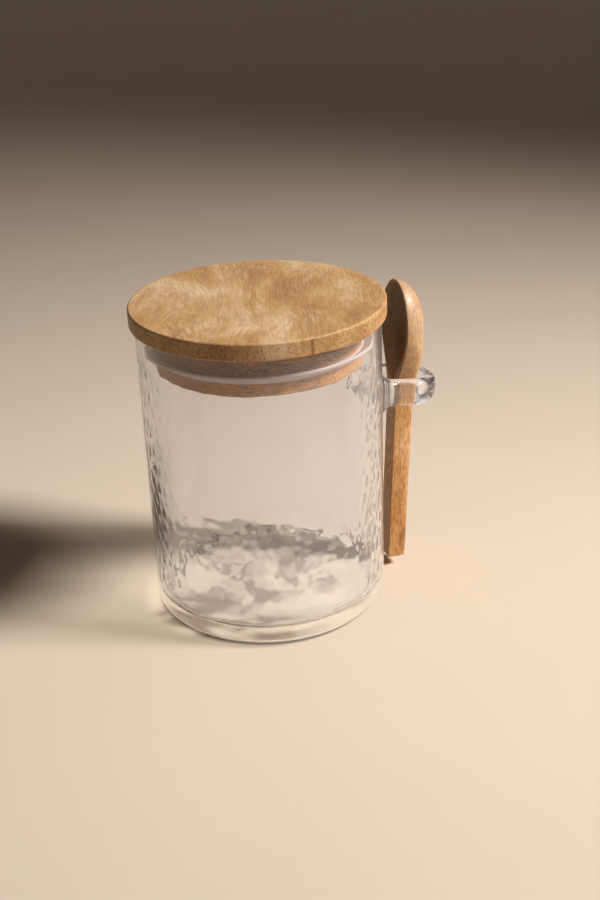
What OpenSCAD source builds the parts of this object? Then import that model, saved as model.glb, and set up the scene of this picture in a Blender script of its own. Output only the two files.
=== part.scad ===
// Jam pot: a glass pot with a wooden plug lid and a wooden spoon that hangs in a glass loop.
// Origin: centre of the pot's underside. +Z is up, and the loop and the spoon are at +X.

/* [Pot] */
// Outer diameter of the glass pot
pot_d = 96; // [80:1:120]
// Height of the pot from the table to its rim
pot_h = 122; // [100:1:160]
// Thickness of the glass wall
wall_t = 3; // [2.4:0.2:4]
// Thickness of the glass floor
floor_t = 7; // [4:0.5:10]
// Outer rounding between the wall and the underside
heel_round = 6; // [3:0.5:9]
// Inner rounding between the wall and the floor
floor_round = 5; // [2:0.5:9]
// Rounding of the fire-polished rim, on both of its edges
rim_round = 1.1; // [0.5:0.1:1.1]

/* [Lid] */
// How far the lid's disc stands out past the pot's wall
lid_overhang = 2; // [0:0.5:4]
// Thickness of the lid's disc
disc_t = 7; // [5:0.5:12]
// Rounding of the disc's edges
disc_round = 0.8; // [0.3:0.1:2]
// How deep the plug drops into the mouth
plug_h = 17; // [14:0.5:22]
// Gap between the plug and the glass, which the seal's lip bridges
plug_gap = 4.5; // [3.5:0.5:6]
// Rounding of the plug's lower edge
plug_round = 0.8; // [0.3:0.1:1.5]

/* [Seal] */
// Height of the wooden band above the seal's groove
seal_drop = 9.2; // [7:0.2:11]
// Height of the seal's root in the groove
seal_root_h = 2.5; // [1.8:0.1:3.5]
// Depth of the groove in the plug
groove_depth = 2.5; // [1:0.25:4]
// Thickness of the seal's lip, measured upwards
lip_t = 1.6; // [0.8:0.1:1.8]
// How far the lip flares up on its way out to the glass
lip_rise = 3.3; // [1:0.1:4]
// Gap between the seal's lip and the glass
seal_gap = 0.3; // [0.2:0.05:0.6]

/* [Loop] */
// Height of the loop's middle below the pot's rim, at the wall
loop_drop = 37; // [30:1:45]
// Height of the loop's strap
loop_h = 10.6; // [8:0.2:14]
// Thickness of the loop's strap
loop_t = 6.4; // [6:0.2:8]
// Rounding of the strap's edges
loop_round = 2.9; // [1:0.1:2.9]
// Angle by which the loop droops from level
loop_droop = 7; // [0:1:10]
// Gap between the spoon's handle and the loop's strands, on each side
loop_play = 1.4; // [1:0.1:3]
// Gap between the spoon's handle and the loop's far end
end_play = 3.8; // [2:0.2:6]
// Height of the glass foot where each strand is fused to the wall
foot_h = 12.5; // [12:0.5:18]
// How far that glass foot stands out from the wall
foot_t = 1.4; // [0.8:0.1:2.5]

/* [Spoon] */
// Height of the handle's end above the table
spoon_foot_z = 5; // [1:0.5:15]
// Gap between the pot's wall and the handle's end
spoon_stand_off = 3.9; // [1:0.1:6]
// Angle by which the spoon leans, its foot towards the pot
spoon_lean = 2.6; // [0:0.2:4]
// Width of the handle
handle_w = 9.2; // [7:0.2:12]
// Thickness of the handle at its end
handle_end_t = 8; // [5:0.25:8.5]
// Thickness of the handle at the neck
handle_neck_t = 8.5; // [5:0.25:9]
// Width of the bowl
bowl_w = 28; // [24:0.5:36]
// Depth of the bowl over its back
bowl_d = 11.4; // [9.5:0.2:16]
// Length of the shoulders, from the neck to the bowl's widest place
shoulder_l = 29; // [22:1:40]
// Length of the bowl's round end, from its widest place to the tip
tip_l = 19.5; // [14:0.5:24]
// Distance from the start of the shoulders to the hollow's lower end
hollow_start = 4; // [3:0.5:8]
// Thickness of the bowl's rim
bowl_rim = 1; // [0.8:0.1:2.5]
// Thickness of wood under the hollow
bowl_floor = 2.8; // [2:0.1:4]
// Gap between the bowl's shoulders and the loop they hang on
seat_gap = 0.45; // [0.35:0.05:0.8]

/* [Hidden] */
$fn = 120;
// Overrun of every cut past the face it opens
over = 1;
// Facets round a section of the spoon, and rings along its parts
section_n = 28;
handle_n = 4;
shoulder_n = 18;
tip_n = 16;
hollow_n = 22;
// Squareness of the spoon's sections: a bar at the handle, an ellipse at the bowl
bar_power = 7;
bowl_power = 2.2;

pot_r = pot_d / 2;
bore_r = pot_r - wall_t;
disc_r = pot_r + lid_overhang;
plug_r = bore_r - plug_gap;
groove_top = pot_h - seal_drop;
groove_bottom = groove_top - seal_root_h;
lip_r = bore_r - seal_gap;

// The hole in the loop is as wide as the handle and its play
hole_r = handle_w / 2 + loop_play;
loop_z = pot_h - loop_drop;
strand_r = hole_r + loop_t / 2;
handle_x = pot_r + spoon_stand_off + (loop_z - spoon_foot_z) * tan(spoon_lean);
loop_end_x = handle_x + handle_neck_t + end_play - hole_r;

// The shoulders are as wide as the hole where the loop's upper edge starts to round
seat_share = (loop_play - seat_gap) / (bowl_w / 2 - handle_w / 2);
seat_z = loop_z + (loop_h / 2 - loop_round) * cos(loop_droop)
    - (handle_x + handle_neck_t / 2 - pot_r) * sin(loop_droop);
seat_s = (seat_z - spoon_foot_z) / cos(spoon_lean);
neck_s = seat_s - shoulder_l * unease(seat_share);
wide_s = neck_s + shoulder_l;
tip_s = wide_s + tip_l;
hollow_s = neck_s + hollow_start;

// A smooth step from 0 to 1, and the share of its length at which it reaches a height
function clamped(t) = min(1, max(0, t));
function ease(t) = clamped(t) * clamped(t) * (3 - 2 * clamped(t));
function unease(y) = 0.5 - sin(asin(1 - 2 * y) / 3);

// Half width, depth and squareness of the spoon, before its end is rounded off
function shoulder_share(s) = ease((s - neck_s) / shoulder_l);
function half_w(s) = handle_w / 2 + (bowl_w / 2 - handle_w / 2) * shoulder_share(s);
function depth(s) = handle_end_t + (handle_neck_t - handle_end_t) * clamped(s / neck_s)
    + (bowl_d - handle_neck_t) * shoulder_share(s);
function power(s) = bar_power + (bowl_power - bar_power) * shoulder_share(s);

// What is left of a full section along a round end that starts at the widest place
function round_share(s, length) = sqrt(1 - pow(clamped((s - wide_s) / length), 2));

// The same along the hollow, which also runs out to nothing at its lower end
function low_share(s) = sqrt(1 - pow(1 - clamped((s - hollow_s) / (wide_s - hollow_s)), 2));
function hollow_share(s) = low_share(s) * round_share(s, tip_l - bowl_rim);

// A section's back, from a bar's to an ellipse's, as points from one front corner to the other
function back(half_w, depth, power, s) = [
    for (k = [0 : section_n])
        let (a = 180 * k / section_n, c = cos(a))
        [depth * pow(sin(a), 2 / power), half_w * sign(c) * pow(abs(c), 2 / power), s]
];

// A solid skin over rings of points, each with as many points as the next
module loft(rings) {
    count = len(rings[0]);
    last = len(rings) - 1;
    sides = [
        for (i = [0 : last - 1], k = [0 : count - 1])
            let (a = i * count + k, b = i * count + (k + 1) % count)
            each [[a, b + count, a + count], [a, b, b + count]]
    ];
    bottom = [for (k = [count - 1 : -1 : 0]) k];
    top = [for (k = [0 : count - 1]) last * count + k];
    polyhedron([for (r = rings) each r], concat(sides, [bottom, top]), convexity = 4);
}

module glass_pot() {
    color("#dfe4df", 0.4)
        rotate_extrude() {
            difference() {
                pot_outline();
                pot_inside();
            }
            pot_rim();
        }
}

// The outside up to the rim's roundings, with the heel rounded
module pot_outline() {
    side_h = pot_h - rim_round;
    square([pot_r - heel_round, side_h]);
    translate([0, heel_round])
        square([pot_r, side_h - heel_round]);
    translate([pot_r - heel_round, heel_round])
        circle(heel_round);
}

// The space inside, with its floor rounded into the wall
module pot_inside() {
    translate([0, floor_t]) {
        square([bore_r - floor_round, pot_h]);
        translate([0, floor_round])
            square([bore_r, pot_h]);
        translate([bore_r - floor_round, floor_round])
            circle(floor_round);
    }
}

// The rim is rounded on both edges and flat between them, where the lid rests
module pot_rim() {
    low = pot_h - rim_round;
    for (x = [bore_r + rim_round, pot_r - rim_round])
        translate([x, low])
            circle(rim_round);
    translate([bore_r + rim_round, low])
        square([wall_t - 2 * rim_round, rim_round]);
}

// A strap bent into a U, with rounded edges, drooping a little, and cut to the pot's wall
module spoon_loop() {
    color("#d5ddd8", 0.5)
        difference() {
            union() {
                translate([pot_r, 0, loop_z])
                    rotate([0, loop_droop, 0])
                        translate([loop_end_x - pot_r, 0, 0])
                            strap();
                for (side = [-1, 1])
                    glass_foot(side);
            }
            cylinder(h = pot_h, r = pot_r);
        }
}

module strap() {
    rotate([0, 0, -90])
        rotate_extrude(angle = 180)
            translate([strand_r, 0])
                strap_section();
    for (side = [-1, 1])
        translate([0, side * strand_r, 0])
            rotate([90, 0, -90])
                linear_extrude(loop_end_x - bore_r)
                    strap_section();
}

module strap_section() {
    x = loop_t / 2 - loop_round;
    y = loop_h / 2 - loop_round;
    square([loop_t, 2 * y], center = true);
    square([2 * x, loop_h], center = true);
    for (i = [-1, 1], k = [-1, 1])
        translate([i * x, k * y])
            circle(loop_round);
}

// Where a strand is fused to the pot, the glass spreads over the wall as a low dome
module glass_foot(side) {
    dome_r = (foot_h * foot_h / 4 + foot_t * foot_t) / (2 * foot_t);
    rotate([0, 0, side * asin(strand_r / pot_r)])
        translate([pot_r + foot_t - dome_r, 0, loop_z])
            sphere(dome_r);
}

module lid_disc() {
    color("#d9b27a")
        translate([0, 0, pot_h])
            rotate_extrude() {
                square([disc_r - disc_round, disc_t]);
                translate([0, disc_round])
                    square([disc_r, disc_t - 2 * disc_round]);
                for (y = [disc_round, disc_t - disc_round])
                    translate([disc_r - disc_round, y])
                        circle(disc_round);
            }
}

module lid_plug() {
    bottom = pot_h - plug_h;
    color("#b98f60")
        rotate_extrude()
            difference() {
                union() {
                    translate([0, bottom])
                        square([plug_r - plug_round, plug_h]);
                    translate([0, bottom + plug_round])
                        square([plug_r, plug_h - plug_round]);
                    translate([plug_r - plug_round, bottom + plug_round])
                        circle(plug_round);
                }
                translate([plug_r - groove_depth, groove_bottom])
                    square([groove_depth + over, seal_root_h]);
            }
}

// The root fills the groove, and the lip flares up from its lower edge to the glass
module seal_ring() {
    color("#cfc4c4")
        rotate_extrude()
            polygon([
                [plug_r - groove_depth, groove_bottom],
                [plug_r, groove_bottom],
                [lip_r, groove_bottom + lip_rise],
                [lip_r, groove_bottom + lip_rise + lip_t],
                [plug_r, groove_bottom + lip_t],
                [plug_r, groove_top],
                [plug_r - groove_depth, groove_top]
            ]);
}

module spoon() {
    color("#b9824e")
        translate([pot_r + spoon_stand_off, 0, spoon_foot_z])
            rotate([0, spoon_lean, 0])
                difference() {
                    spoon_body();
                    spoon_hollow();
                }
}

// A bar that widens through the shoulders into the bowl and ends round
module spoon_body() {
    places = [
        for (i = [0 : handle_n - 1]) neck_s * i / handle_n,
        for (i = [0 : shoulder_n - 1]) neck_s + shoulder_l * i / shoulder_n,
        for (i = [0 : tip_n - 1]) wide_s + tip_l * sin(90 * i / tip_n),
        wide_s + tip_l * sin(90 * (1 - 0.5 / tip_n))
    ];
    loft([
        for (s = places)
            let (left = round_share(s, tip_l))
                back(half_w(s) * left, depth(s) * left, power(s), s)
    ]);
}

// The hollow follows the bowl inside its rim and over its floor, and opens at the front
module spoon_hollow() {
    middle = (hollow_s + tip_s - bowl_rim) / 2;
    reach = (tip_s - bowl_rim - hollow_s) / 2;
    loft([
        for (i = [0 : hollow_n - 1])
            let (
                s = middle - reach * cos(180 * (i + 0.5) / hollow_n),
                w = (half_w(s) - bowl_rim) * hollow_share(s),
                d = (depth(s) - bowl_floor) * hollow_share(s)
            )
            concat([[-over, w, s]], back(w, d, bowl_power, s), [[-over, -w, s]])
    ]);
}

glass_pot();
spoon_loop();
lid_disc();
lid_plug();
seal_ring();
spoon();
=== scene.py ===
"""Dresses the jam pot: its hammered glass, the spoon loop, the wooden lid with its seal, and the spoon."""

import math

import bpy
import numpy as np
from bpy.props import FloatProperty, FloatVectorProperty, IntProperty, PointerProperty
from mathutils import Matrix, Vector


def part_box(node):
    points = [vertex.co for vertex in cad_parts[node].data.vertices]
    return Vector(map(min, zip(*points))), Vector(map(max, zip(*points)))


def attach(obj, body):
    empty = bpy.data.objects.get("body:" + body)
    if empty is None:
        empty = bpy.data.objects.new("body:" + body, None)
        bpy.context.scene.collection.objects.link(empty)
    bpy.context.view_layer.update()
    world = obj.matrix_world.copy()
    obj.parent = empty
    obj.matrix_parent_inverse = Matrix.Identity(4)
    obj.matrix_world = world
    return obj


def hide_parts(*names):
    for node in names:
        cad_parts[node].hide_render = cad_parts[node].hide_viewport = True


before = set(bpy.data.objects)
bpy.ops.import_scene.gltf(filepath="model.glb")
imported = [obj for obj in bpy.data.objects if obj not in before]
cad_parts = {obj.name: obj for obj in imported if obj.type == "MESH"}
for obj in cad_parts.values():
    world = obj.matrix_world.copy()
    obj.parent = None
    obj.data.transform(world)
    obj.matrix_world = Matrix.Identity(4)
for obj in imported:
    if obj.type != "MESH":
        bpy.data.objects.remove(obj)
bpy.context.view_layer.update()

bl_info = {
    "name": "Jam pot",
    "version": (1, 0, 0),
    "blender": (4, 5, 0),
    "location": "3D View > Sidebar > Jam pot",
    "description": "A hammered glass pot with a wooden plug lid and a spoon in a glass loop",
    "category": "Add Mesh",
}

POT_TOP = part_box("glass_pot")[1]
DISC_LOW, DISC_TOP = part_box("lid_disc")
PLUG_LOW, PLUG_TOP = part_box("lid_plug")
SEAL_LOW, SEAL_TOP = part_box("seal_ring")
SPOON_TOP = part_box("spoon")[1]
# The spoon's height over the table, its lean in degrees, and its length from the shoulders' start to the tip
SPOON_FOOT, SPOON_LEAN, BOWL_LENGTH = 0.005, 2.6, 0.0485
NECK = (SPOON_TOP.z - SPOON_FOOT) / math.cos(math.radians(SPOON_LEAN)) - BOWL_LENGTH
# Points round a turned piece, and the radius of its innermost ring
TURNED_FACETS, HUB = 256, 0.002


def linear(code):
    """An sRGB hex colour as linear red, green, blue and alpha."""
    shares = np.array([int(code[i : i + 2], 16) for i in (1, 3, 5)]) / 255
    linear_shares = np.where(shares <= 0.04045, shares / 12.92, ((shares + 0.055) / 1.055) ** 2.4)
    return (*linear_shares.tolist(), 1.0)


# ---- Sizes and colours ----


def metres(name, length, description):
    """A length that the user can change."""
    return FloatProperty(name=name, description=description, default=length, unit="LENGTH")


def degrees(name, angle, description):
    """An angle that the user can change."""
    return FloatProperty(name=name, description=description, default=math.radians(angle), subtype="ANGLE")


def hex_colour(name, code, description):
    """A colour that the user can change."""
    return FloatVectorProperty(name=name, description=description, default=linear(code), size=4, subtype="COLOR")


class PotSizes(bpy.types.PropertyGroup):
    """Sizes of the glass pot"""

    radius: metres("Radius", POT_TOP.y, "Outer radius of the wall")
    height: metres("Height", POT_TOP.z, "From the table to the rim")
    wall: metres("Wall", 0.003, "Thickness of the wall")
    floor: metres("Floor", 0.007, "Thickness of the floor")
    heel: metres("Heel", 0.006, "Rounding under the wall")
    bottom_round: metres("Inner rounding", 0.005, "Rounding between floor and wall inside")
    rim_round: metres("Rim", 0.0013, "Rounding of the fire-polished rim")
    dimple_width: metres("Dimple width", 0.0046, "Width of a hammered dimple")
    dimple_height: metres("Dimple height", 0.006, "Height of a hammered dimple")
    dimple_depth: metres("Dimple depth", 0.00017, "Depth of a hammered dimple")
    floor_wave: metres("Floor waves", 0.0012, "Height of the slow waves in the glass floor")
    facets: IntProperty(name="Facets", description="Points round the wall", default=380, min=24)


class LoopSizes(bpy.types.PropertyGroup):
    """Sizes of the glass loop that holds the spoon"""

    height: metres("Height", 0.0106, "Height of the strap")
    thickness: metres("Thickness", 0.0064, "Thickness of the strap")
    level: metres("Level", 0.085, "Height of its middle at the wall")
    middle: metres("End", 0.06183, "Distance of the end's centre from the pot's axis")
    strand: metres("Strands", 0.0092, "Distance of each strand from the middle")
    droop: degrees("Droop", 7, "Angle below level")
    flare: metres("Flare", 0.0026, "How far the root spreads on the wall on each side")


class LidSizes(bpy.types.PropertyGroup):
    """Sizes of the wooden lid and its seal"""

    disc_radius: metres("Disc", DISC_TOP.y, "Radius of the disc")
    disc_low: metres("Disc, underside", DISC_LOW.z, "Height it rests at")
    disc_top: metres("Disc, top", DISC_TOP.z, "Height of its top")
    edge: metres("Edges", 0.0009, "Rounding of the wood's edges")
    plug_radius: metres("Plug", PLUG_TOP.y, "Radius of the plug")
    plug_low: metres("Plug, underside", PLUG_LOW.z, "Height of its lower face")
    groove_low: metres("Groove, bottom", SEAL_LOW.z, "Height of the groove's lower side")
    groove_height: metres("Groove, height", 0.0025, "Height of the seal's root")
    groove_depth: metres("Groove, depth", 0.0025, "How deep it is cut")
    lip_radius: metres("Lip", SEAL_TOP.y, "Radius of the seal's lip")
    lip_top: metres("Lip, top", SEAL_TOP.z, "Height of the lip's upper edge")
    lip: metres("Lip, thickness", 0.0016, "Thickness of the lip")


class SpoonSizes(bpy.types.PropertyGroup):
    """Sizes of the wooden spoon"""

    handle_width: metres("Handle width", 0.0092, "Width of the bar")
    end_thickness: metres("End", 0.008, "Thickness of the bar's end")
    neck_thickness: metres("Neck", 0.0085, "Thickness of the bar's neck")
    bowl_width: metres("Bowl width", 2 * SPOON_TOP.y, "Width of the bowl")
    bowl_depth: metres("Bowl depth", 0.0114, "Depth over the back")
    neck: metres("Neck place", NECK, "Distance from end to shoulders")
    shoulder: metres("Shoulders", 0.029, "Length of the shoulders")
    tip: metres("Round end", 0.0195, "From the widest place to the tip")
    hollow_start: metres("Hollow", 0.004, "From the neck to the hollow's lower end")
    rim: metres("Rim", 0.001, "Thickness of the bowl's rim")
    under: metres("Under the hollow", 0.0028, "Thickness under it")
    edge: metres("Edges", 0.00045, "Rounding of the wood's edges")
    stand_off: metres("Stand-off", 0.0039, "Gap between wall and end")
    foot: metres("Foot", SPOON_FOOT, "Height of the end over the table")
    lean: degrees("Lean", SPOON_LEAN, "Angle of the spoon")


class Finishes(bpy.types.PropertyGroup):
    """Colours of the glass, the woods, the seal and the floor"""

    glass_body: hex_colour("Glass", "#C6D2C8", "Body colour of the glass, edge on")
    lid_light: hex_colour("Lid, light", "#D6BB94", "Pale wood of the lid")
    lid_mid: hex_colour("Lid, middle", "#BE9562", "Most of the lid's wood")
    lid_dark: hex_colour("Lid, dark", "#A6794B", "Dark figure of the lid")
    plug: hex_colour("Plug", "#D08E4C", "Most of the plug's wood")
    spoon_light: hex_colour("Spoon, light", "#DDB384", "Pale wood of the spoon")
    spoon_mid: hex_colour("Spoon, middle", "#D09A5E", "Most of the spoon's wood")
    spoon_dark: hex_colour("Spoon, dark", "#9C6436", "Dark grain of the spoon")
    pores: hex_colour("Pores", "#4A2E18", "Open pores of both woods")
    seal: hex_colour("Seal", "#F8E8EE", "Cloudy silicone")
    floor: hex_colour("Floor", "#E4D6C7", "Plain pale floor")


class StudioSizes(bpy.types.PropertyGroup):
    """The floor, the lights and the camera"""

    floor: metres("Floor", 5.0, "Half the floor's side")
    key: FloatProperty(name="Key light", description="Power of the light on the right", default=4.5, unit="POWER")
    fill: FloatProperty(name="Fill light", description="Power of the broad light in front", default=0.4, unit="POWER")
    sky: FloatProperty(name="Room", description="Strength of the room's light on matt surfaces", default=0.038, min=0.0)
    shine: FloatProperty(
        name="Room in glass", description="Strength of the room in gloss and glass", default=1.0, min=0.0
    )
    turn: degrees("Turn", -15.5, "Angle of the view round the pot")


class JamPot(bpy.types.PropertyGroup):
    """Everything of the jam pot that can be set"""

    pot: PointerProperty(type=PotSizes)
    loop: PointerProperty(type=LoopSizes)
    lid: PointerProperty(type=LidSizes)
    spoon: PointerProperty(type=SpoonSizes)
    finishes: PointerProperty(type=Finishes)
    studio: PointerProperty(type=StudioSizes)


# ---- Surfaces ----


def ease(t):
    """A smooth step: 0 before 0, 1 after 1, and 3 t^2 - 2 t^3 between."""
    t = np.clip(t, 0, 1)
    return t * t * (3 - 2 * t)


def rounded(corners, closed=False):
    """Points along straight runs whose corners are rounded off.

    A corner is (r, z, rounding, stride). Its arc touches both runs at rounding / tan(half the corner's angle) from it,
    in eight steps. A run has a point 0.2 mm from each of its arcs, and between those one about every stride of its
    first corner, or none at all where it is shorter than 0.6 mm."""
    margin, shortest = 0.0002, 0.0006
    corners = np.array(corners, float)
    count = len(corners)
    t = np.linspace(0, 1, 9)[:, None]
    arcs = []
    for i in range(count):
        here, (radius, stride) = corners[i, :2], corners[i, 2:]
        to_last = corners[i - 1, :2] - here
        to_next = corners[(i + 1) % count, :2] - here
        if radius == 0 or (not closed and i in (0, count - 1)):
            arcs.append((here[None], stride))
            continue
        to_last /= np.linalg.norm(to_last)
        to_next /= np.linalg.norm(to_next)
        half = 0.5 * math.acos(np.clip(to_last @ to_next, -1, 1))
        middle = here + (to_last + to_next) / np.linalg.norm(to_last + to_next) * radius / math.sin(half)
        start = here + to_last * radius / math.tan(half) - middle
        end = here + to_next * radius / math.tan(half) - middle
        sweep = math.pi - 2 * half
        arcs.append((middle + (np.sin((1 - t) * sweep) * start + np.sin(t * sweep) * end) / math.sin(sweep), stride))
    points = []
    for i, (arc, stride) in enumerate(arcs):
        points.append(arc)
        if i == count - 1 and not closed:
            break
        start, end = arc[-1], arcs[(i + 1) % count][0][0]
        span = np.linalg.norm(end - start)
        if span > shortest:
            steps = max(2, math.ceil(span / stride) + 1)
            shares = np.linspace(margin / span, 1 - margin / span, steps)[:, None]
            points.append(start + (end - start) * shares)
    return np.vstack(points)


def revolved(profile, facets):
    """Rings about Z: each point (r, z) of the profile goes to (r cos a, r sin a, z)."""
    angle = np.linspace(0, 2 * np.pi, facets, endpoint=False)
    r, z = profile[:, :1], profile[:, 1:]
    return np.stack([r * np.cos(angle), r * np.sin(angle), z + 0 * angle], -1)


def skin(name, rings, endless=False):
    """A closed mesh over rings of points, an array of rings by points by three.

    Each ring joins the next. The last joins the first if the skin is endless, and otherwise both ends close on a point
    in the middle of their ring. The faces are turned outwards by the sign of the volume that they hold."""
    count, around = rings.shape[:2]
    index = np.arange(count * around).reshape(count, around)
    low, high = (index, np.roll(index, -1, 0)) if endless else (index[:-1], index[1:])
    quads = np.stack([low, np.roll(low, -1, 1), np.roll(high, -1, 1), high], -1).reshape(-1, 4)
    points = rings.reshape(-1, 3)
    caps = np.zeros((0, 3), int)
    if not endless:
        points = np.vstack([points, rings[0].mean(0), rings[-1].mean(0)])
        first, last = index[0], index[-1]
        start, end = np.full(around, count * around), np.full(around, count * around + 1)
        caps = np.vstack([
            np.stack([np.roll(first, -1), first, start], -1),
            np.stack([last, np.roll(last, -1), end], -1),
        ])
    triangles = np.vstack([quads[:, :3], quads[:, [0, 2, 3]], caps])
    a, b, c = (points[triangles[:, k]] for k in range(3))
    if np.einsum("ij,ij->", a, np.cross(b, c)) < 0:
        quads, caps = quads[:, ::-1], caps[:, ::-1]
    mesh = bpy.data.meshes.new(name)
    mesh.from_pydata(points.tolist(), [], quads.tolist() + caps.tolist())
    if mesh.validate():
        raise RuntimeError(f"the surface of {name} isn't sound")
    mesh.shade_smooth()
    return mesh


def place_piece(mesh, finish, body, node):
    """Adds a mesh as a piece that wears a finish and rides on a body, and hides the imported part of a node."""
    piece = bpy.data.objects.new(mesh.name, mesh)
    bpy.context.scene.collection.objects.link(piece)
    mesh.materials.append(finish)
    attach(piece, body)
    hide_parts(node)


def hammering(angle, height, pot):
    """How deep the hammered wall lies, from 0 on its ridges to 1 in the middle of a dimple.

    The wall is laid out in cells of a dimple's size, every other row half a cell along, and each cell's middle is moved
    at random, by its scatter in cells. With d the distance to a middle in cells, b its own bias and k the sharpness of
    the ridges, the depth is 1 + 4 ln(sum exp(-k (d^2 + b))) / k over the nine nearest middles, cut to 0 to 1, so that
    neighbouring bowls meet in rounded ridges."""
    scatter, most_bias, sharpness = 0.3, 0.07, 14.0
    columns = round(2 * math.pi * pot.radius / pot.dimple_width)
    rows = math.ceil(pot.height / pot.dimple_height) + 2
    dice = np.random.default_rng(seed=12)
    shift = dice.uniform(-scatter, scatter, (rows + 2, columns, 2))
    bias = dice.uniform(0, most_bias, (rows + 2, columns))
    v = height / pot.dimple_height
    row = np.floor(v).astype(int)
    total = np.zeros(np.broadcast(angle, height).shape)
    for up in (-1, 0, 1):
        at_row = row + up
        table_row = np.clip(at_row + 1, 0, rows + 1)
        u = angle / (2 * np.pi) * columns - 0.5 * (at_row % 2)
        column = np.floor(u).astype(int)
        for along in (-1, 0, 1):
            at_column = column + along
            table_column = at_column % columns
            du = u - at_column - 0.5 - shift[table_row, table_column, 0]
            dv = v - at_row - 0.5 - shift[table_row, table_column, 1]
            total += np.exp(-sharpness * (du**2 + dv**2 + bias[table_row, table_column]))
    return np.clip(1 + 4 * np.log(total + 1e-9) / sharpness, 0, 1)


def pot_skin(pot, loop):
    """The pot as one closed surface of revolution, r and z being functions of the place along its outline.

    The outside runs from the middle of the underside round the heel and up to the rim, and is pressed in by the
    hammering, which fades out at the heel, below the rim and round the loop's root. The inside runs down the bore and
    in to the middle of the floor. There z gains slow waves, sums of sines of x and y, and the bore's radius swells and
    shrinks by 0.12 mm."""
    radius, height, bore = pot.radius, pot.height, pot.radius - pot.wall
    rim = radius - pot.wall / 2
    outside = rounded([
        (0.004, 0, 0, 0.004),
        (radius, 0, pot.heel, 0.0009),
        (radius, height, pot.rim_round, 0.001),
        (rim, height, 0, 0.001),
    ])
    # Inside and outside meet on top of the rim, 0.1 mm apart
    inside = rounded([
        (rim - 0.0001, height, 0, 0.001),
        (bore, height, pot.rim_round, 0.0035),
        (bore, pot.floor, pot.bottom_round, 0.0012),
        (HUB, pot.floor, 0, 0.002),
    ])
    outer = revolved(outside, pot.facets)
    angle = np.linspace(0, 2 * np.pi, pot.facets, endpoint=False)[None]
    z = outer[..., 2]
    # The wall is plain by the table, the rim and the loop's root, and the hammering fades in from there
    plain_heel, plain_rim, plain_root = 0.6 * pot.heel, 0.007, 0.013
    heel_fade, rim_fade, root_fade = 0.014, 0.010, 0.008
    off_root = np.hypot(radius * np.sin(angle), z - loop.level)
    fade = (
        ease((z - plain_heel) / heel_fade)
        * ease((height - plain_rim - z) / rim_fade)
        * np.where(np.cos(angle) > 0, ease((off_root - plain_root) / root_fade), 1)
    )
    pressed = pot.dimple_depth * fade * hammering(angle, z, pot)
    # The rim's top and the underside lie further in than the wall and stay plain
    pressed = np.where(outside[:, :1] > radius - 0.5 * pot.heel, pressed, 0)
    outer[..., 0] -= pressed * np.cos(angle)
    outer[..., 1] -= pressed * np.sin(angle)

    inner = revolved(inside, pot.facets)
    x, y = inner[..., 0], inner[..., 1]
    near_floor = ease((bore - pot.bottom_round - inside[:, :1]) / 0.006) * (inside[:, 1:] < 0.5 * height)
    # Waves 23 to 28 mm long, and ripples 9 mm long on them
    waves = np.sin(190 * x + 120 * y) + np.sin(90 * x - 210 * y + 1.3) + np.sin(270 * x + 40 * y + 2.1)
    ripples = np.sin(610 * x - 350 * y + 2 * np.sin(150 * y)) + np.sin(240 * x + 640 * y + 2 * np.sin(170 * x))
    inner[..., 2] += near_floor * (pot.floor_wave * waves / 3 + 0.04 * pot.floor_wave * ripples)
    swell = 0.00012 * np.sin(5 * angle + 60 * inner[..., 2]) * ease((height - 0.012 - inner[..., 2]) / 0.02)
    swell = swell * ease((inner[..., 2] - pot.floor - pot.bottom_round) / 0.01)
    inner[..., 0] += swell * np.cos(angle)
    inner[..., 1] += swell * np.sin(angle)
    return skin("hammered_pot", np.concatenate([outer, inner]))


def loop_skin(loop, pot):
    """The loop as a strap's section carried along a U.

    The path runs out along one strand, round a half circle and back along the other, from inside the glass of the
    wall. The section is |across / a|^p + |up / b|^p = 1, p falling from a flat strap's 3.4 to a rounder 2.4 in the
    middle of the bend. Near the wall it spreads by flare * exp(-distance / 1.3 mm), and its end bends to the wall's own
    curve, so that the glass of both runs into one. All of it then droops about the wall."""
    root = 0.6 * pot.wall
    start = pot.radius - root
    strand, out = loop.strand, loop.middle - start
    length = 2 * out + math.pi * strand
    # The points are closest in the 12 mm next to the wall, where the section changes
    dense = 0.012
    near = np.linspace(0, dense, 40, endpoint=False)
    path = np.concatenate([near, np.linspace(dense, length - dense, 130), length - near[::-1]])[:, None]
    turn = np.clip((path - out) / strand, 0, math.pi)
    along = np.minimum(path, out) - np.maximum(path - out - math.pi * strand, 0)
    from_end = np.minimum(path, length - path)
    # The spread is full in the wall and for 0.6 mm outside it
    spread = loop.flare * np.exp(-np.maximum(from_end - root - 0.0006, 0) / 0.0013)
    half_t = loop.thickness / 2 + spread
    half_h = loop.height / 2 + 0.8 * spread
    squareness = 3.4 - np.sin(turn)
    angle = np.linspace(0, 2 * np.pi, 64, endpoint=False)[None]
    across = half_t * np.sign(np.cos(angle)) * np.abs(np.cos(angle)) ** (2 / squareness)
    up = half_h * np.sign(np.sin(angle)) * np.abs(np.sin(angle)) ** (2 / squareness)
    x = start + along + (strand + across) * np.sin(turn)
    y = (strand + across) * np.cos(turn)
    drop, tilt = x - pot.radius, loop.droop
    at_wall = 1 - ease(from_end / 0.007)
    placed_x = pot.radius + drop * math.cos(tilt) + up * math.sin(tilt) * (1 - at_wall)
    placed_x = placed_x - at_wall * (pot.radius - np.sqrt(pot.radius**2 - y**2))
    placed_z = loop.level - drop * math.sin(tilt) + up * math.cos(tilt)
    return skin("glass_loop", np.stack([placed_x, y, placed_z], -1))


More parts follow.
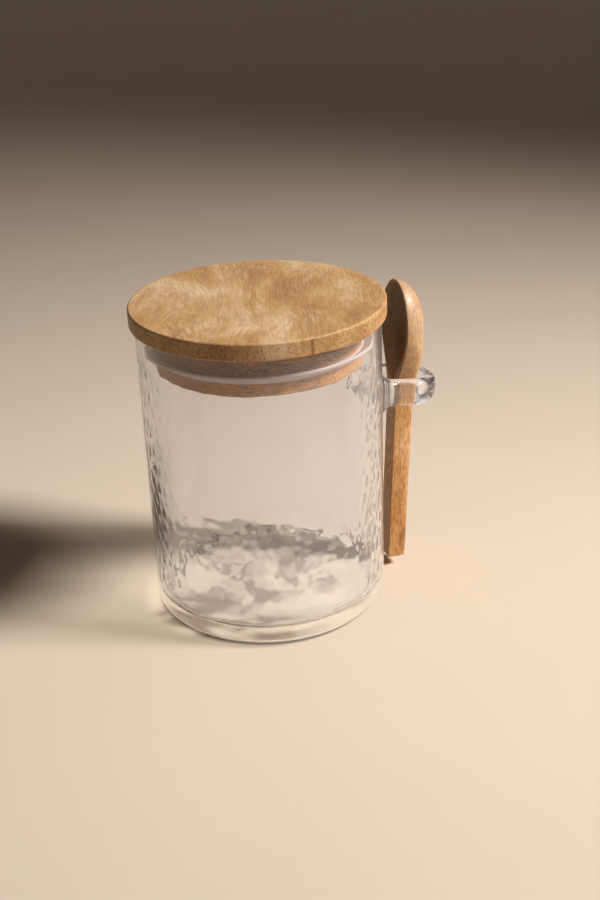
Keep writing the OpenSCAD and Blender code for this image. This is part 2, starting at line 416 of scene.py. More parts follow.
def disc_skin(lid):
    """The lid's disc: a flat cylinder of revolution with its edges eased."""
    profile = rounded([
        (HUB, lid.disc_low, 0, 0.003),
        (lid.disc_radius, lid.disc_low, lid.edge, 0.0012),
        (lid.disc_radius, lid.disc_top, lid.edge, 0.003),
        (HUB, lid.disc_top, 0, 0.003),
    ])
    return skin("wooden_disc", revolved(profile, TURNED_FACETS))


def plug_skin(lid):
    """The plug under the disc: a cylinder of revolution with the seal's groove cut round it."""
    groove_r, groove_top = lid.plug_radius - lid.groove_depth, lid.groove_low + lid.groove_height
    crisp = 0.0002
    profile = rounded([
        (HUB, lid.plug_low, 0, 0.003),
        (lid.plug_radius, lid.plug_low, lid.edge, 0.0012),
        (lid.plug_radius, lid.groove_low, crisp, 0.0012),
        (groove_r, lid.groove_low, crisp, 0.0012),
        (groove_r, groove_top, crisp, 0.0012),
        (lid.plug_radius, groove_top, crisp, 0.0012),
        (lid.plug_radius, lid.disc_low, 0, 0.003),
        (HUB, lid.disc_low, 0, 0.003),
    ])
    return skin("wooden_plug", revolved(profile, TURNED_FACETS))


def seal_skin(lid):
    """The seal: a closed section, its root in the groove and its lip flared up to the glass, carried round the axis."""
    groove_r, top = lid.plug_radius - lid.groove_depth, lid.groove_low + lid.groove_height
    section = rounded([
        (groove_r, lid.groove_low, 0.0003, 0.001),
        (lid.plug_radius, lid.groove_low, 0.0012, 0.001),
        (lid.lip_radius, lid.lip_top - lid.lip, 0.0004, 0.001),
        (lid.lip_radius, lid.lip_top, 0.0005, 0.001),
        (lid.plug_radius, lid.groove_low + lid.lip, 0.0003, 0.001),
        (lid.plug_radius, top, 0.0002, 0.001),
        (groove_r, top, 0.0003, 0.001),
    ], closed=True)
    rings = revolved(section, TURNED_FACETS).transpose(1, 0, 2)
    return skin("silicone_seal", rings, endless=True)


def spoon_skin(spoon):
    """The spoon as sections along s, from the bar's end to the bowl's tip, each a flat front and a rounded back.

    The share e(s) goes from 0 at the neck to 1 at the widest place by a smooth step, and takes the half width w, the
    depth d and the power p of the section from a bar's to the bowl's. The back is |side / w|^p + |out / d|^p = 1. Past
    the widest place w and d shrink by sqrt(1 - t^2). The hollow is dug into the front by
    (d - under) (1 - |side / w|^2.2)^(1 / 2.2), inside the rim. It runs out to nothing at both of its ends by a root of
    the same kind, and is smoothed twice. The front's edges and the bar's end are eased."""
    wide = spoon.neck + spoon.shoulder
    hollow = spoon.neck + spoon.hollow_start
    edge = spoon.edge
    bar_power, power_drop, hollow_power = 7, 4.8, 2.2
    eased = np.linspace(0.08, 1, 8) * math.pi / 2
    s = np.concatenate([
        edge * (1 - np.cos(eased)),
        np.linspace(edge, spoon.neck, 60)[1:],
        np.linspace(spoon.neck, wide, 110)[1:],
        wide + spoon.tip * np.sin(np.linspace(0, math.pi / 2, 90)[1:-1]),
    ])[:, None]
    inset = np.where(s < edge, edge - np.sqrt(np.maximum(edge**2 - (edge - s) ** 2, 0)), 0)
    share = ease((s - spoon.neck) / spoon.shoulder)
    left = np.sqrt(1 - np.clip((s - wide) / spoon.tip, 0, 1) ** 2)
    full_w = spoon.handle_width / 2 + (spoon.bowl_width - spoon.handle_width) / 2 * share
    half_w = full_w * left
    thick = spoon.end_thickness + (spoon.neck_thickness - spoon.end_thickness) * np.clip(s / spoon.neck, 0, 1)
    thick = thick + (spoon.bowl_depth - spoon.neck_thickness) * share
    depth = thick * left
    power = bar_power - power_drop * share

    angle = np.linspace(0, np.pi, 72)[None]
    cosine, sine = np.cos(angle), np.maximum(np.sin(angle), 0)
    front_edge = np.minimum(edge, 0.3 * np.minimum(half_w, depth))
    back_out = front_edge + (depth - front_edge) * sine ** (2 / power)
    back_side = half_w * np.sign(cosine) * np.abs(cosine) ** (2 / power)

    u = np.linspace(-1, 1, 112)[None, 1:-1]
    front_side = half_w * (0.5 * u + 0.5 * np.sin(u * math.pi / 2))
    past = np.clip((np.abs(front_side) - half_w + front_edge) / front_edge, 0, 1)
    low_end = np.sqrt(1 - (1 - np.clip((s - hollow) / (wide - hollow), 0, 1)) ** 2)
    high_end = np.sqrt(1 - np.clip((s - wide) / (spoon.tip - spoon.rim), 0, 1) ** 2)
    dug = low_end * high_end
    hollow_w = np.maximum((full_w - spoon.rim) * dug, 1e-6)
    bowl = np.clip(1 - np.abs(front_side / hollow_w) ** hollow_power, 0, 1) ** (1 / hollow_power)
    digging = (thick - spoon.under) * dug * bowl
    for _ in range(2):
        digging[1:-1] = 0.25 * digging[:-2] + 0.5 * digging[1:-1] + 0.25 * digging[2:]
        digging[:, 1:-1] = 0.25 * digging[:, :-2] + 0.5 * digging[:, 1:-1] + 0.25 * digging[:, 2:]
    front_out = front_edge * (1 - np.sqrt(1 - past**2)) + digging

    out = np.concatenate([back_out, front_out], 1)
    side = np.concatenate([back_side, front_side], 1)
    middle = depth / 2
    out = middle + (out - middle) * (1 - inset / middle)
    side = side * (1 - inset / half_w)
    along = s + 0 * out
    tilt = spoon.lean
    x = POT_TOP.y + spoon.stand_off + out * math.cos(tilt) + along * math.sin(tilt)
    z = spoon.foot - out * math.sin(tilt) + along * math.cos(tilt)
    return skin("wooden_spoon", np.stack([x, side, z], -1))


# ---- Finishes ----


def node(tree, kind, sockets=None, stops=None, out=0, **settings):
    """Adds a node: settings are its own options, sockets give each input a value or a link, stops colour a ramp.

    It gives back the node's first output, or the one that out names, or all of them where out is None."""
    made = tree.nodes.new("ShaderNode" + kind)
    for name, value in settings.items():
        setattr(made, name, value)
    for key, value in (sockets or {}).items():
        if isinstance(value, bpy.types.NodeSocket):
            tree.links.new(value, made.inputs[key])
        else:
            made.inputs[key].default_value = value
    if stops:
        elements = made.color_ramp.elements
        while len(elements) < len(stops):
            elements.new(0.5)
        for element, (position, colour) in zip(elements, stops):
            element.position, element.color = position, colour
    return made.outputs if out is None else made.outputs[out]


def new_material(name):
    """A material with an empty node tree."""
    made = bpy.data.materials.new(name)
    made.use_nodes = True
    made.node_tree.nodes.clear()
    return made, made.node_tree


def blown_glass(name, body, ripple, film):
    """Soda-lime glass, blown in a mould and fire polished.

    It is clear and glossy, its skin has slow ripples from the cooling and a thin film from handling, and its body is
    faintly green where the eye looks along a wall or the floor. Lamps shine through it, weaker where the wall turns
    away, in patches, and least at the heel. ripple and film say how strong the ripples and the film are."""
    glass, tree = new_material(name)
    place = node(tree, "TexCoord", out="Object")
    # Ripples 7 mm and 2 mm long, and less than 0.1 mm high
    slow = node(tree, "TexNoise", {"Vector": place, "Scale": 140.0, "Detail": 2.0})
    skin_bump = node(tree, "Bump", {"Height": slow, "Strength": ripple, "Distance": 0.0003})
    # The film whitens the glass a little, and dulls its gloss in soft patches 25 mm wide
    handled = node(tree, "TexNoise", {"Vector": place, "Scale": 40.0, "Detail": 3.0})
    dullness = node(tree, "MapRange", {"Value": handled, "From Min": 0.35, "From Max": 0.75, "To Max": 0.035})
    shader = node(tree, "BsdfPrincipled", {
        "Base Color": linear("#FBFCFF"), "Roughness": dullness, "IOR": 1.52, "Transmission Weight": 0.985,
        "Sheen Weight": film, "Sheen Roughness": 0.8, "Sheen Tint": linear("#FFF6F9"), "Normal": skin_bump,
    })
    # The wavy floor gathers lamplight in patches 22 mm wide and thins it between them, and the wall, from 44.5 mm off
    # the axis, does so less
    bent = node(tree, "TexNoise", {"Vector": place, "Scale": 45.0, "Detail": 3.0, "Distortion": 1.2})
    level = node(tree, "SeparateXYZ", {0: place}, out="Z")
    flat = node(tree, "VectorMath", {0: place, 1: (1.0, 1.0, 0.0)}, operation="MULTIPLY")
    from_axis = node(tree, "VectorMath", {0: flat}, out="Value", operation="LENGTH")
    in_wall = node(tree, "MapRange", {"Value": from_axis, "From Min": 0.0425, "From Max": 0.0445})
    thin = node(tree, "Mix", {0: in_wall, 2: 0.56, 3: 0.98})
    gathered = node(tree, "Mix", {0: in_wall, 2: 1.3, 3: 1.03})
    patches = node(tree, "MapRange", {
        "Value": bent, "From Min": 0.4, "From Max": 0.56, "To Min": thin, "To Max": gathered,
    })
    brownish = node(tree, "Mix", {0: patches, 6: linear("#D6BCAC"), 7: linear("#FFFFFF")}, out=2, data_type="RGBA")
    # The lowest 1.8 mm of the round heel bends the light away and leaves a dark line on the table
    heel = node(tree, "MapRange", {"Value": level, "From Max": 0.0018, "To Min": 0.02})
    kept = node(tree, "Math", {0: patches, 1: heel}, operation="MULTIPLY")
    facing = node(tree, "LayerWeight", {"Blend": 0.35}, out="Facing")
    clear = node(tree, "Mix", {0: facing, 6: linear("#FFFFFF"), 7: linear("#E2E3E0")}, out=2, data_type="RGBA")
    tinted = node(tree, "VectorMath", {0: clear, 1: brownish}, operation="MULTIPLY")
    through = node(tree, "VectorMath", {0: tinted, "Scale": kept}, operation="SCALE")
    lamp = node(tree, "BsdfTransparent", {"Color": through})
    # Light that goes on to something matt passes the glass in a straight line, and only what the eye sees is bent
    path = node(tree, "LightPath", out=None)
    surface = node(tree, "MixShader", {0: path["Is Shadow Ray"], 1: shader, 2: lamp})
    surface = node(tree, "MixShader", {0: path["Is Diffuse Ray"], 1: surface, 2: lamp})
    volume = node(tree, "VolumeAbsorption", {"Color": body, "Density": 4.0})
    node(tree, "OutputMaterial", {"Surface": surface, "Volume": volume}, out=None)
    return glass


# How each wood is cut and finished. turn lays its fibres along Y. In millimetres, wander is how far they wander, axis
# where the rings' axis lies, which dips by dip, and ring how wide a ring is. contrast, ribs, streak, open and ends are
# the strengths of late wood, cream ribs, fibres, and the pores of faces and of edges. fine is how thin the fibres are,
# short how much of their length is left, plain the share of places without a pore, edge how bright the edges stay,
# their darkening partly oil in end grain and partly painted shade, and gloss the oil's roughness. The last three are
# for one
# piece each: the bowl drawn darker and greyer as painted shade and sheen, hollow for painted shade in the carved hollow
# with its oil-darkened cut fibres, and fleck for the place of the split
LID_GRAIN = {
    "turn": (0.0, 0.0, math.radians(15.5)), "wander": 22.0, "axis": (8.0, 0.0, -60.0), "dip": math.radians(7),
    "ring": 5.5, "contrast": 0.12, "ribs": 0.5, "fine": 1.0, "short": 0.08, "streak": 0.24,
    "plain": 0.45, "open": 0.22, "ends": 0.7, "edge": 0.92, "gloss": 0.5, "painted_bowl_light": 0.0, "hollow": 0.0, "fleck": 0.0062,
}
PLUG_GRAIN = dict(
    LID_GRAIN, turn=(0.0, 0.0, math.radians(95)), axis=(-5.0, 20.0, -90.0), fine=1.5, streak=0.6, fleck=0.0
)
SPOON_GRAIN = {
    "turn": (math.pi / 2, 0.0, 0.0), "wander": 5.0, "axis": (-20.0, 0.0, -25.0), "dip": math.radians(3),
    "ring": 3.2, "contrast": 0.25, "ribs": 0.2, "fine": 1.9, "short": 0.16, "streak": 0.45,
    "plain": 0.42, "open": 0.4, "ends": 0.3, "edge": 1.0, "gloss": 0.36, "painted_bowl_light": 0.65, "hollow": 0.5, "fleck": 0.0,
}


def growth_rings(tree, bent, grain):
    """Rings about an axis that lies under the face and dips along the fibres, each darkest in its late wood.

    It gives back the share of late wood, and the unevenness that bends the rings, 8 mm wide."""
    tilted = node(tree, "Mapping", {"Vector": bent, "Location": grain["axis"], "Rotation": (grain["dip"], 0.0, 0.0)})
    flat = node(tree, "VectorMath", {0: tilted, 1: (1.0, 0.0, 1.0)}, operation="MULTIPLY")
    from_axis = node(tree, "VectorMath", {0: flat}, out="Value", operation="LENGTH")
    uneven = node(tree, "TexNoise", {"Vector": bent, "Scale": 0.12, "Detail": 2.0, "Roughness": 0.6})
    ring_place = node(tree, "Math", {0: uneven, 1: 0.7 * grain["ring"], 2: from_axis}, operation="MULTIPLY_ADD")
    ring_count = node(tree, "Math", {0: ring_place, 1: grain["ring"]}, operation="DIVIDE")
    ring = node(tree, "Math", {0: ring_count}, operation="FRACT")
    late = node(
        tree, "ValToRGB", {"Fac": ring},
        [(0.0, (0, 0, 0, 1)), (0.62, (0.25, 0.25, 0.25, 1)), (0.86, (1, 1, 1, 1)), (1.0, (0, 0, 0, 1))],
    )
    return late, uneven


def pore_dashes(tree, bent, plain):
    """Pores 0.3 mm wide and 3 mm long, drawn a little wider than they are so that they show."""
    pore_place = node(tree, "Mapping", {"Vector": bent, "Scale": (0.9, 0.13, 0.9)})
    cells = node(tree, "TexVoronoi", {"Vector": pore_place, "Scale": 1.0}, out=None)
    pore_mask = node(tree, "MapRange", {
        "Value": cells["Distance"], "From Min": 0.14, "From Max": 0.28, "To Min": 1.0, "To Max": 0.0,
    })
    chosen = node(tree, "Math", {0: cells["Color"], 1: plain}, operation="GREATER_THAN")
    return node(tree, "Math", {0: pore_mask, 1: chosen}, operation="MULTIPLY")


def paint_hollow_shade(tree, colour, height, strength):
    """The carved hollow faces the pot, over the height of the bowl, and is drawn darker there: painted shade, and its
    cut fibres darkened by oil.
    """
    toward = node(tree, "SeparateXYZ", {0: node(tree, "TexCoord", out="Normal")}, out="X")
    inside = node(tree, "MapRange", {"Value": toward, "From Min": -0.05, "From Max": -0.4})
    in_bowl = node(tree, "MapRange", {"Value": height, "From Min": 0.084, "From Max": 0.093})
    cut = node(tree, "Math", {0: inside, 1: in_bowl}, operation="MULTIPLY")
    kept = node(tree, "Math", {0: cut, 1: -strength, 2: 1.0}, operation="MULTIPLY_ADD")
    return node(tree, "VectorMath", {0: colour, "Scale": kept}, operation="SCALE")


def edge_split(tree, place, uneven, level, aside):
    """A short split in the disc's edge, 1.5 mm wide and filled with dark oil, this far aside from the pot's axis."""
    along = node(tree, "SeparateXYZ", {0: place}, out=None)
    crooked = node(tree, "Math", {0: uneven, 1: 0.0012, 2: along["X"]}, operation="MULTIPLY_ADD")
    off_split = node(tree, "Math", {0: crooked, 1: aside}, operation="SUBTRACT")
    from_split = node(tree, "Math", {0: off_split}, operation="ABSOLUTE")
    narrow = node(tree, "MapRange", {
        "Value": from_split, "From Min": 0.0003, "From Max": 0.001, "To Min": 0.55, "To Max": 0.0,
    })
    at_edge = node(tree, "MapRange", {
        "Value": along["Y"], "From Min": -0.0492, "From Max": -0.0475, "To Min": 1.0, "To Max": 0.0,
    })
    upright = node(tree, "Math", {0: level, 1: 0.4}, operation="LESS_THAN")
    on_edge = node(tree, "Math", {0: at_edge, 1: upright}, operation="MULTIPLY")
    return node(tree, "Math", {0: narrow, 1: on_edge}, operation="MULTIPLY")


def oiled_wood(name, light, mid, dark, pore, grain):
    """A plain-sawn hardwood, sanded and oiled, seen as a block that the shape is cut from.

    Its growth rings are arcs about a far axis, bent by slow waves, so a face shows streaks and arches and an end shows
    arcs. Blotches, cream ribs, fine fibres and open pores lie over them. The eye sees a warm satin with short dark
    dashes, and dots where the fibres end."""
    wood, tree = new_material(name)
    place = node(tree, "TexCoord", out="Object")
    # From here on one unit is a millimetre
    block = node(tree, "Mapping", {"Vector": place, "Rotation": grain["turn"], "Scale": (1000.0, 1000.0, 1000.0)})
    # The fibres wander by a few millimetres over 45 mm
    wander = node(tree, "TexNoise", {"Vector": block, "Scale": 0.022, "Detail": 0.6}, out="Color")
    centred = node(tree, "VectorMath", {0: wander, 1: (0.5, 0.5, 0.5)}, operation="SUBTRACT")
    bent = node(tree, "VectorMath", {0: centred, 1: (grain["wander"],) * 3, 2: block}, operation="MULTIPLY_ADD")
    late, uneven = growth_rings(tree, bent, grain)
    # Fibres half a millimetre to a millimetre across and 3 to 12 mm long
    long_fibres = node(tree, "Mapping", {"Vector": bent, "Scale": (1.0, grain["short"], 1.0)})
    fibres = node(tree, "TexNoise", {"Vector": long_fibres, "Scale": grain["fine"], "Detail": 4.0, "Roughness": 0.68})
    # Cream ribs half a millimetre wide and 9 mm long, in curly patches 18 mm wide
    rib_place = node(tree, "Mapping", {"Vector": bent, "Scale": (1.0, 0.09, 1.0)})
    rib_lines = node(tree, "TexNoise", {"Vector": rib_place, "Scale": 1.25, "Detail": 1.0})
    ribs = node(tree, "MapRange", {"Value": rib_lines, "From Min": 0.5, "From Max": 0.62})
    curl = node(tree, "TexNoise", {"Vector": block, "Scale": 0.055, "Detail": 2.0})
    curly = node(tree, "MapRange", {
        "Value": curl, "From Min": 0.42, "From Max": 0.58, "To Min": 0.1 * grain["ribs"], "To Max": grain["ribs"],
    })
    rib_share = node(tree, "Math", {0: ribs, 1: curly}, operation="MULTIPLY")
    # Blotches 30 mm across, where the figure turns, and thin wandering lines where they meet
    blotch_place = node(tree, "Mapping", {"Vector": bent, "Scale": (1.0, 0.6, 1.0)})
    blotches = node(tree, "TexNoise", {
        "Vector": blotch_place, "Scale": 0.036, "Detail": 5.0, "Roughness": 0.6, "Distortion": 0.6,
    })
    off_line = node(tree, "Math", {0: blotches, 1: 0.53}, operation="SUBTRACT")
    from_line = node(tree, "Math", {0: off_line}, operation="ABSOLUTE")
    line = node(tree, "MapRange", {"Value": from_line, "From Max": 0.009, "To Min": 0.22, "To Max": 0.0})
    pores = pore_dashes(tree, bent, grain["plain"])

    tone = node(tree, "ValToRGB", {"Fac": blotches}, [(0.36, dark), (0.49, mid), (0.66, light)])
    ribbed = node(tree, "Mix", {0: rib_share, 6: tone, 7: light}, out=2, data_type="RGBA")
    late_share = node(tree, "Math", {0: late, 1: grain["contrast"], 2: line}, operation="MULTIPLY_ADD")
    ringed = node(tree, "Mix", {0: late_share, 6: ribbed, 7: dark}, out=2, data_type="RGBA")
    streak = node(tree, "MapRange", {
        "Value": fibres, "From Min": 0.34, "From Max": 0.66,
        "To Min": 1 - grain["streak"], "To Max": 1 + 0.7 * grain["streak"],
    })
    # Sawn and turned edges are drawn darker than the faces: partly the oil that their end grain drinks, partly painted
    # shade
    upward = node(tree, "SeparateXYZ", {0: node(tree, "TexCoord", out="Normal")}, out="Z")
    level = node(tree, "Math", {0: upward}, operation="ABSOLUTE")
    oil = node(tree, "MapRange", {"Value": level, "From Min": 0.3, "From Max": 0.9, "To Min": grain["edge"]})
    strength = node(tree, "Math", {0: streak, 1: oil}, operation="MULTIPLY")
    streaked = node(tree, "VectorMath", {0: ringed, "Scale": strength}, operation="SCALE")
    # Oil fills most pores of a sanded face, and those of an edge stay open
    open_pores = node(tree, "MapRange", {
        "Value": level, "From Min": 0.3, "From Max": 0.9, "To Min": grain["ends"], "To Max": grain["open"],
    })
    pore_share = node(tree, "Math", {0: pores, 1: open_pores}, operation="MULTIPLY")
    # At one end, the bowl's from 82 to 112 mm up, the wood is drawn darker and greyer: painted shade and sheen
    height = node(tree, "SeparateXYZ", {0: place}, out="Z")
    painted_bowl_light = node(tree, "MapRange", {"Value": height, "From Min": 0.082, "From Max": 0.112, "To Max": grain["painted_bowl_light"]})
    greyed = node(tree, "Mix", {0: 0.75, 6: streaked, 7: linear("#A5917E")}, out=2, data_type="RGBA")
    streaked = node(tree, "Mix", {0: painted_bowl_light, 6: streaked, 7: greyed}, out=2, data_type="RGBA")
    # The spoon's hollow is drawn darker: painted shade, and its cut fibres darkened by oil
    if grain["hollow"]:
        streaked = paint_hollow_shade(tree, streaked, height, grain["hollow"])
    if grain["fleck"]:
        split = edge_split(tree, place, uneven, level, grain["fleck"])
        pore_share = node(tree, "Math", {0: pore_share, 1: split}, operation="MAXIMUM")
    colour = node(tree, "Mix", {0: pore_share, 6: streaked, 7: pore}, out=2, data_type="RGBA")
    # The oil dries duller over the soft early wood and in the pores
    roughness = node(tree, "MapRange", {
        "Value": fibres, "From Min": 0.3, "From Max": 0.7, "To Min": grain["gloss"] + 0.1, "To Max": grain["gloss"],
    })
    relief = node(tree, "Math", {0: pores, 1: -0.8, 2: fibres}, operation="MULTIPLY_ADD")
    grain_bump = node(tree, "Bump", {"Height": relief, "Strength": 0.35, "Distance": 0.00015})
    shader = node(tree, "BsdfPrincipled", {
        "Base Color": colour, "Roughness": roughness, "IOR": 1.48, "Normal": grain_bump,
    })
    node(tree, "OutputMaterial", {"Surface": shader}, out=None)
    return wood


def cloudy_silicone(name, colour):
    """Translucent silicone rubber, press moulded: soft and milky, with a satin skin that holds a little dust."""
    silicone, tree = new_material(name)
    place = node(tree, "TexCoord", out="Object")
    # Milkiness drifts over 12 mm, and dust lies in specks of half a millimetre
    cloud = node(tree, "TexNoise", {"Vector": place, "Scale": 80.0, "Detail": 3.0})
    milk = node(tree, "Mix", {0: cloud, 6: colour, 7: linear("#E6DADD")}, out=2, data_type="RGBA")
    dust = node(tree, "TexNoise", {"Vector": place, "Scale": 1800.0, "Detail": 2.0})
    satin = node(tree, "MapRange", {"Value": dust, "From Min": 0.3, "From Max": 0.7, "To Min": 0.3, "To Max": 0.45})
    moulded = node(tree, "Bump", {"Height": dust, "Strength": 0.2, "Distance": 0.00005})
    shader = node(tree, "BsdfPrincipled", {
        "Base Color": milk, "Roughness": satin, "IOR": 1.41, "Transmission Weight": 0.4, "Subsurface Weight": 1.0,
        "Subsurface Radius": (0.008, 0.007, 0.007), "Normal": moulded,
    })
    node(tree, "OutputMaterial", {"Surface": shader}, out=None)
    return silicone


def matt_floor(name, colour):
    """Matt painted board: plain and pale, with a faint mottle 110 mm wide and no gloss."""
    floor, tree = new_material(name)
    place = node(tree, "TexCoord", out="Object")
    mottle = node(tree, "TexNoise", {"Vector": place, "Scale": 9.0, "Detail": 6.0})
    shade = node(tree, "MapRange", {"Value": mottle, "From Min": 0.3, "From Max": 0.7, "To Min": 0.97})
    tone = node(tree, "VectorMath", {0: colour[:3], "Scale": shade}, operation="SCALE")
    shader = node(tree, "BsdfPrincipled", {"Base Color": tone, "Roughness": 0.85})
    node(tree, "OutputMaterial", {"Surface": shader}, out=None)
    return floor


# ---- Stage ----


def turned(place, angle):
    """A place turned about the pot's axis."""
    return (Matrix.Rotation(angle, 4, "Z") @ Matrix.Translation(place)).translation


def add_lamp(name, place, target, angle, width, height, power, colour, spread=math.pi):
    """A soft rectangular lamp at a place that shines at a target, both turned about the pot's axis."""
    lamp = bpy.data.lights.new(name, "AREA")
    lamp.shape, lamp.size, lamp.size_y, lamp.energy, lamp.color = "RECTANGLE", width, height, power, colour[:3]
    lamp.spread = spread
    holder = bpy.data.objects.new(name, lamp)
    bpy.context.scene.collection.objects.link(holder)
    start, end = turned(place, angle), turned(target, angle)
    aim = (end - start).to_track_quat("-Z", "Y").to_matrix().to_4x4()
    holder.matrix_world = Matrix.Translation(start) @ aim


def add_floor(half_side, finish):
    """A square board, 0.05 mm up in the glass, so that the eye sees it through the base as through a film of water."""
    mesh = bpy.data.meshes.new("floor")
    low = 0.00005
    corners = [(x * half_side, y * half_side, low) for x, y in ((-1, -1), (1, -1), (1, 1), (-1, 1))]
    mesh.from_pydata(corners, [], [(0, 1, 2, 3)])
    mesh.materials.append(finish)
    floor = bpy.data.objects.new("floor", mesh)
    bpy.context.scene.collection.objects.link(floor)


def add_room(sky, shine):
    """The eye, gloss and glass see a room that is dim near the table and white above, and little of its light reaches
    what is matt."""
    world = bpy.data.worlds.new("room")
    world.use_nodes = True
    tree = world.node_tree
    tree.nodes.clear()
    toward = node(tree, "SeparateXYZ", {0: node(tree, "TexCoord", out="Generated")}, out="Z")
    seen = node(tree, "MapRange", {
        "Value": toward, "From Min": 0.2, "From Max": 0.75, "To Min": 0.2 * shine, "To Max": shine,
    })
    path = node(tree, "LightPath", out=None)
    shiny = node(tree, "Math", {0: path["Is Glossy Ray"], 1: path["Is Transmission Ray"]}, operation="MAXIMUM")
    shiny = node(tree, "Math", {0: path["Is Camera Ray"], 1: shiny}, operation="MAXIMUM")
    matt_before = node(tree, "Math", {0: path["Diffuse Depth"], 1: 0.5}, operation="GREATER_THAN")
    share = node(tree, "Math", {0: shiny, 1: matt_before}, operation="SUBTRACT", use_clamp=True)
    strength = node(tree, "Mix", {0: share, 2: sky, 3: seen})
    # What reaches a matt surface has come by way of warm walls
    tone = node(tree, "Mix", {0: share, 6: linear("#F4CFA8"), 7: linear("#F6F1EE")}, out=2, data_type="RGBA")
    room = node(tree, "Background", {"Color": tone, "Strength": strength})
    node(tree, "OutputWorld", {"Surface": room}, out=None)
    bpy.context.scene.world = world


def add_camera(angle):
    """The camera: 25 degrees down on the pot from 0.55 m away, turned and rolled a little."""
    pitch, pan, roll = math.radians(25.43), math.radians(1.74), math.radians(-2.23)
    focal_length, picture_height = 1281, 900  # both in pixels
    right = np.array([math.cos(pan), -math.sin(pan), 0])
    ahead = np.array([math.sin(pan) * math.cos(pitch), math.cos(pan) * math.cos(pitch), -math.sin(pitch)])
    above = np.cross(right, ahead)
    across = math.cos(roll) * right + math.sin(roll) * above
    upward = -math.sin(roll) * right + math.cos(roll) * above
    pose = Matrix([(*row, 0) for row in np.stack([across, upward, -ahead], 1).tolist()] + [(0, 0, 0, 1)])
    pose.translation = (0, -0.4712, 0.2875)
    view = bpy.data.cameras.new("camera")
    view.sensor_width = 36
    view.lens = focal_length * 36 / picture_height
    view.clip_start = 0.01
    camera = bpy.data.objects.new("camera", view)
    bpy.context.scene.collection.objects.link(camera)
    camera.matrix_world = Matrix.Rotation(angle, 4, "Z") @ pose
    bpy.context.scene.camera = camera


# ---- Operators ----


class JAMPOT_OT_glass_pot(bpy.types.Operator):
    """Make the pot with its hammered wall, fire-polished rim and thick floor"""

    bl_idname = "jampot.glass_pot"
    bl_label = "Glass pot"

    def execute(self, context):
        jam_pot = context.scene.jam_pot
        finish = blown_glass("hammered soda-lime glass", jam_pot.finishes.glass_body, ripple=0.12, film=0.11)
        place_piece(pot_skin(jam_pot.pot, jam_pot.loop), finish, "pot", "glass_pot")
        return {"FINISHED"}


class JAMPOT_OT_glass_loop(bpy.types.Operator):
    """Make the drooping glass loop that is fused to the wall and carries the spoon"""

    bl_idname = "jampot.glass_loop"
    bl_label = "Glass loop"

    def execute(self, context):
        jam_pot = context.scene.jam_pot
        finish = blown_glass("hand-drawn soda-lime glass", jam_pot.finishes.glass_body, ripple=0.25, film=0.03)
        place_piece(loop_skin(jam_pot.loop, jam_pot.pot), finish, "pot", "spoon_loop")
        return {"FINISHED"}


class JAMPOT_OT_lid(bpy.types.Operator):
    """Make the lid's disc and the plug under it"""

    bl_idname = "jampot.lid"
    bl_label = "Wooden lid"

    def execute(self, context):
        lid, colours = context.scene.jam_pot.lid, context.scene.jam_pot.finishes
        disc = disc_skin(lid)
        palette = colours.lid_light, colours.lid_mid, colours.lid_dark, colours.pores
        place_piece(disc, oiled_wood("oiled lid hardwood", *palette, LID_GRAIN), "lid", "lid_disc")
        plug = plug_skin(lid)
        palette = colours.lid_mid, colours.plug, colours.lid_dark, colours.pores
        place_piece(plug, oiled_wood("oiled plug hardwood", *palette, PLUG_GRAIN), "lid", "lid_plug")
        return {"FINISHED"}


class JAMPOT_OT_seal(bpy.types.Operator):
    """Make the silicone seal in the plug's groove"""

    bl_idname = "jampot.seal"
    bl_label = "Silicone seal"

    def execute(self, context):
        jam_pot = context.scene.jam_pot
        finish = cloudy_silicone("moulded silicone", jam_pot.finishes.seal)
        place_piece(seal_skin(jam_pot.lid), finish, "lid", "seal_ring")
        return {"FINISHED"}


class JAMPOT_OT_spoon(bpy.types.Operator):
    """Make the spoon with its hollow and its square handle"""

    bl_idname = "jampot.spoon"
    bl_label = "Wooden spoon"

    def execute(self, context):
        jam_pot = context.scene.jam_pot
        colours = jam_pot.finishes
        palette = colours.spoon_light, colours.spoon_mid, colours.spoon_dark, colours.pores
        finish = oiled_wood("oiled spoon hardwood", *palette, SPOON_GRAIN)
        place_piece(spoon_skin(jam_pot.spoon), finish, "spoon", "spoon")
        return {"FINISHED"}


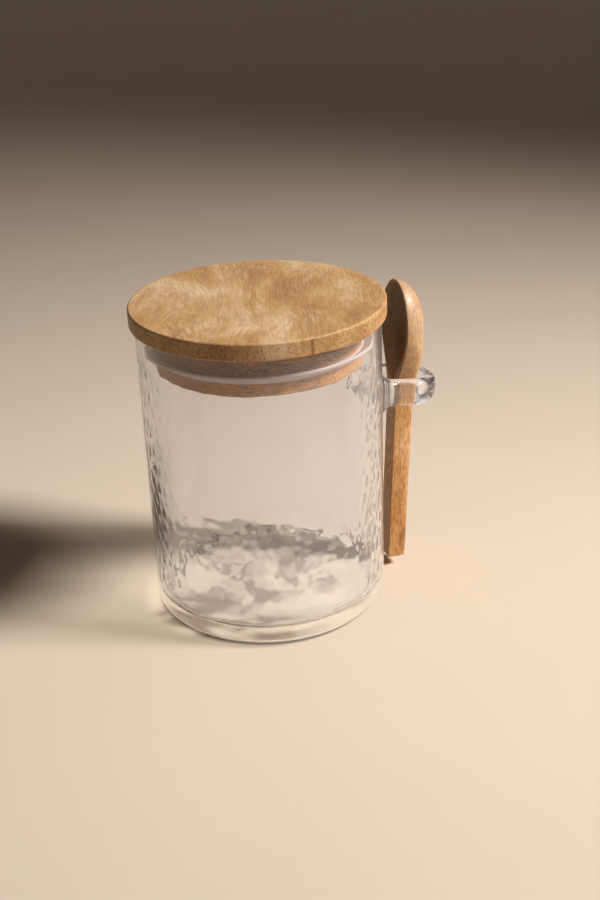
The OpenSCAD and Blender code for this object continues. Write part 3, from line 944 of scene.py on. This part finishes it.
class JAMPOT_OT_stage(bpy.types.Operator):
    """Make the pale floor, the soft lights, the room and the camera"""

    bl_idname = "jampot.stage"
    bl_label = "Stage"

    def execute(self, context):
        scene = context.scene
        studio = scene.jam_pot.studio
        add_floor(studio.floor, matt_floor("matt painted board", scene.jam_pot.finishes.floor))
        add_lamp(
            "key", (1.27, -0.3, 1.18), (0, -0.03, 0.05), studio.turn, width=0.36, height=0.36, power=studio.key,
            colour=linear("#FFF6EC"), spread=math.radians(56),
        )
        add_lamp(
            "fill", (1.2, -1.9, 1.2), (0, 0, 0.08), studio.turn, width=2.0, height=1.6, power=studio.fill,
            colour=linear("#FFEEDD"),
        )
        add_room(studio.sky, studio.shine)
        scene.view_settings.view_transform = "Standard"
        add_camera(studio.turn)
        return {"FINISHED"}


class JAMPOT_PT_panel(bpy.types.Panel):
    """Lists what the jam pot is made of"""

    bl_idname = "JAMPOT_PT_panel"
    bl_label = "Jam pot"
    bl_space_type = "VIEW_3D"
    bl_region_type = "UI"
    bl_category = "Jam pot"

    def draw(self, context):
        jam_pot = context.scene.jam_pot
        for group in (jam_pot.pot, jam_pot.loop, jam_pot.lid, jam_pot.spoon, jam_pot.finishes, jam_pot.studio):
            box = self.layout.box()
            for name in group.__annotations__:
                box.prop(group, name)
        for operator in OPERATORS:
            self.layout.operator(operator.bl_idname)


OPERATORS = (
    JAMPOT_OT_glass_pot,
    JAMPOT_OT_glass_loop,
    JAMPOT_OT_lid,
    JAMPOT_OT_seal,
    JAMPOT_OT_spoon,
    JAMPOT_OT_stage,
)
CLASSES = (PotSizes, LoopSizes, LidSizes, SpoonSizes, Finishes, StudioSizes, JamPot, *OPERATORS, JAMPOT_PT_panel)


def register():
    for made in CLASSES:
        bpy.utils.register_class(made)
    bpy.types.Scene.jam_pot = PointerProperty(type=JamPot)


def unregister():
    del bpy.types.Scene.jam_pot
    for made in reversed(CLASSES):
        bpy.utils.unregister_class(made)


def main():
    register()
    bpy.ops.jampot.glass_pot()
    bpy.ops.jampot.glass_loop()
    bpy.ops.jampot.lid()
    bpy.ops.jampot.seal()
    bpy.ops.jampot.spoon()
    bpy.ops.jampot.stage()


if __name__ == "__main__":
    main()
